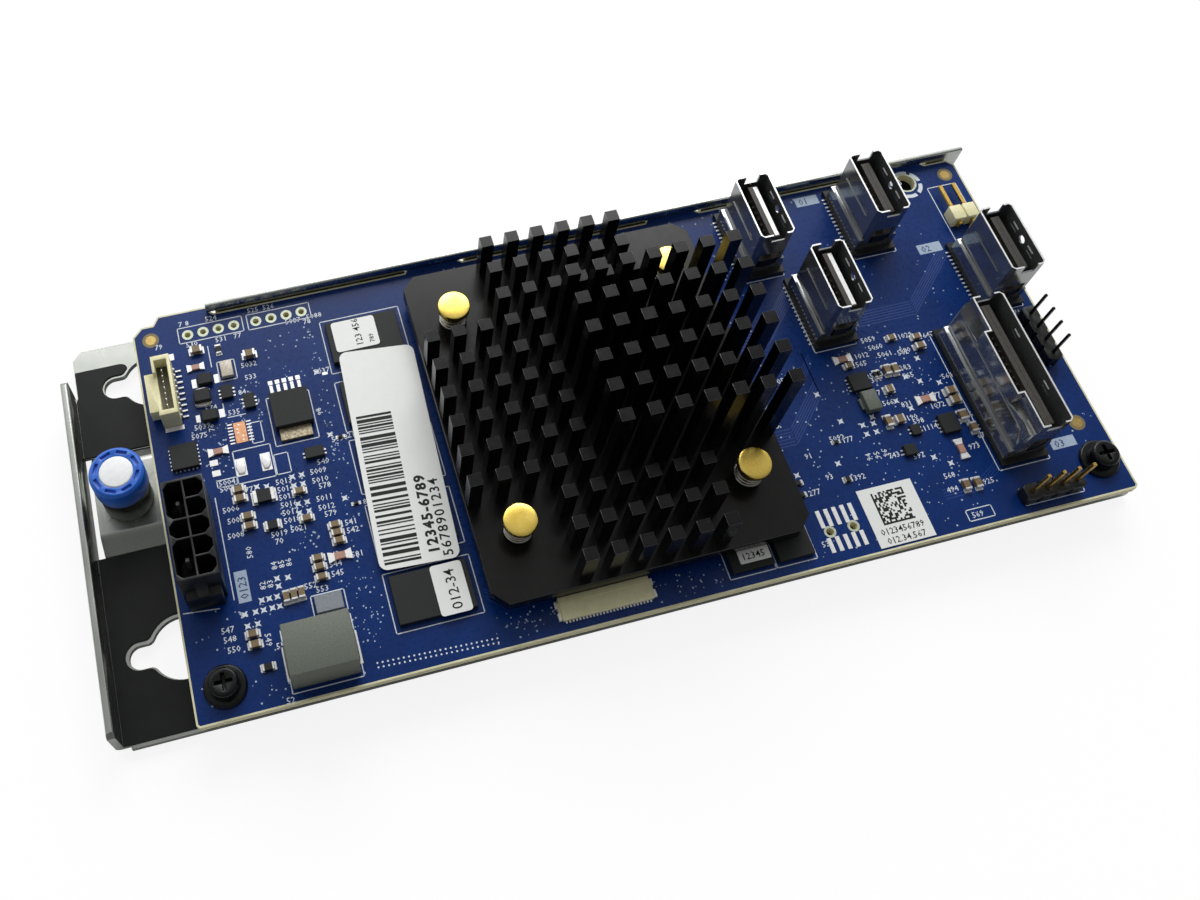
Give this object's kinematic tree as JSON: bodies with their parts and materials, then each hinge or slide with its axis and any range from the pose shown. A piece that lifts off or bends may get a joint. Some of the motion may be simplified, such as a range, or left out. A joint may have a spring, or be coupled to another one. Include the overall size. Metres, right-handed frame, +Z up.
{
  "type": "raid controller card",
  "caption": "Internal storage controller card on a sheet-steel tray, with a stepped pin-fin heatsink, upright cable ports, a power header and a spring release plunger.",
  "frame": {"origin": "centre of the outline's bounding box, on the underside of the tray", "axes": "+X along the board away from the plunger end, +Y towards the back flange, +Z up out of the board's component side"},
  "size_m": [0.1622, 0.0674, 0.0303],
  "materials": {
    "cream_plastic": "cream thermoplastic",
    "gold": "gold flash on contacts",
    "black_steel": "black oxide, satin",
    "steel": "turned steel",
    "beige_ceramic": "ceramic body with tinned ends",
    "paper_white": "coated label paper",
    "board_blue": "solder mask over fibreglass laminate, semi-gloss",
    "chip_black": "moulded epoxy, matt",
    "black_plastic": "glass-filled nylon",
    "black_anodised": "black anodised, semi-gloss",
    "black_film": "satin insulating film",
    "tin": "tin plate, bright",
    "cap_white": "moulded white plastic",
    "knob_blue": "moulded blue plastic",
    "spring_steel": "bright spring wire",
    "shell_steel": "stainless shell, bright",
    "choke_grey": "pressed iron powder, matt",
    "brass": "bright turned brass",
    "thermal_grey": "soft thermal pad",
    "zinc_steel": "zinc plated sheet, semi-bright"
  },
  "bodies": {
    "card": {"angle_header_base": "cream_plastic", "angle_header_pins": "gold", "board_screws": "black_steel", "board_standoffs": "steel", "ceramic_capacitors": "beige_ceramic", "chip_resistors": "beige_ceramic", "chip_tag": "paper_white", "circuit_board": "board_blue", "code_label": "paper_white", "controller_chip": "chip_black", "diodes": "chip_black", "edge_header_base": "black_plastic", "edge_header_pins": "gold", "flat_cable_header": "cream_plastic", "front_header_base": "black_plastic", "front_header_pins": "gold", "front_memory_chips": "chip_black", "heatsink": "black_anodised", "insulator_film": "black_film", "logic_chips": "chip_black", "lower_label": "paper_white", "main_label": "paper_white", "memory_chips": "chip_black", "oscillator_can": "tin", "plunger_barrel": "steel", "plunger_spring": "spring_steel", "port_1_housing": "black_plastic", "port_1_shell": "shell_steel", "port_2_housing": "black_plastic", "port_2_shell": "shell_steel", "port_3_housing": "black_plastic", "port_3_shell": "shell_steel", "port_4_housing": "black_plastic", "port_4_shell": "shell_steel", "port_5_housing": "black_plastic", "port_5_shell": "shell_steel", "power_choke": "choke_grey", "power_header_housing": "black_plastic", "power_header_pins": "tin", "push_pin_springs": "spring_steel", "push_pins": "brass", "screw_washers": "black_steel", "shunt_links": "beige_ceramic", "side_header_housing": "cream_plastic", "side_header_pins": "tin", "small_chokes": "choke_grey", "thermal_pad": "thermal_grey", "transistor_body": "chip_black", "transistor_tab": "tin", "tray": "zinc_steel", "upper_label": "paper_white"},
    "plunger": {"plunger_pin": "steel", "plunger_knob": "knob_blue", "plunger_cap": "cap_white"}
  },
  "joints": [
    {"name": "plunger_slide", "type": "slide", "parent": "card", "child": "plunger", "axis": [0, 0, 1], "range_m": [0, 0.0019], "stiffness_N_per_m": 40, "springref_m": -0.003, "deforming": ["plunger_spring"]}
  ]
}
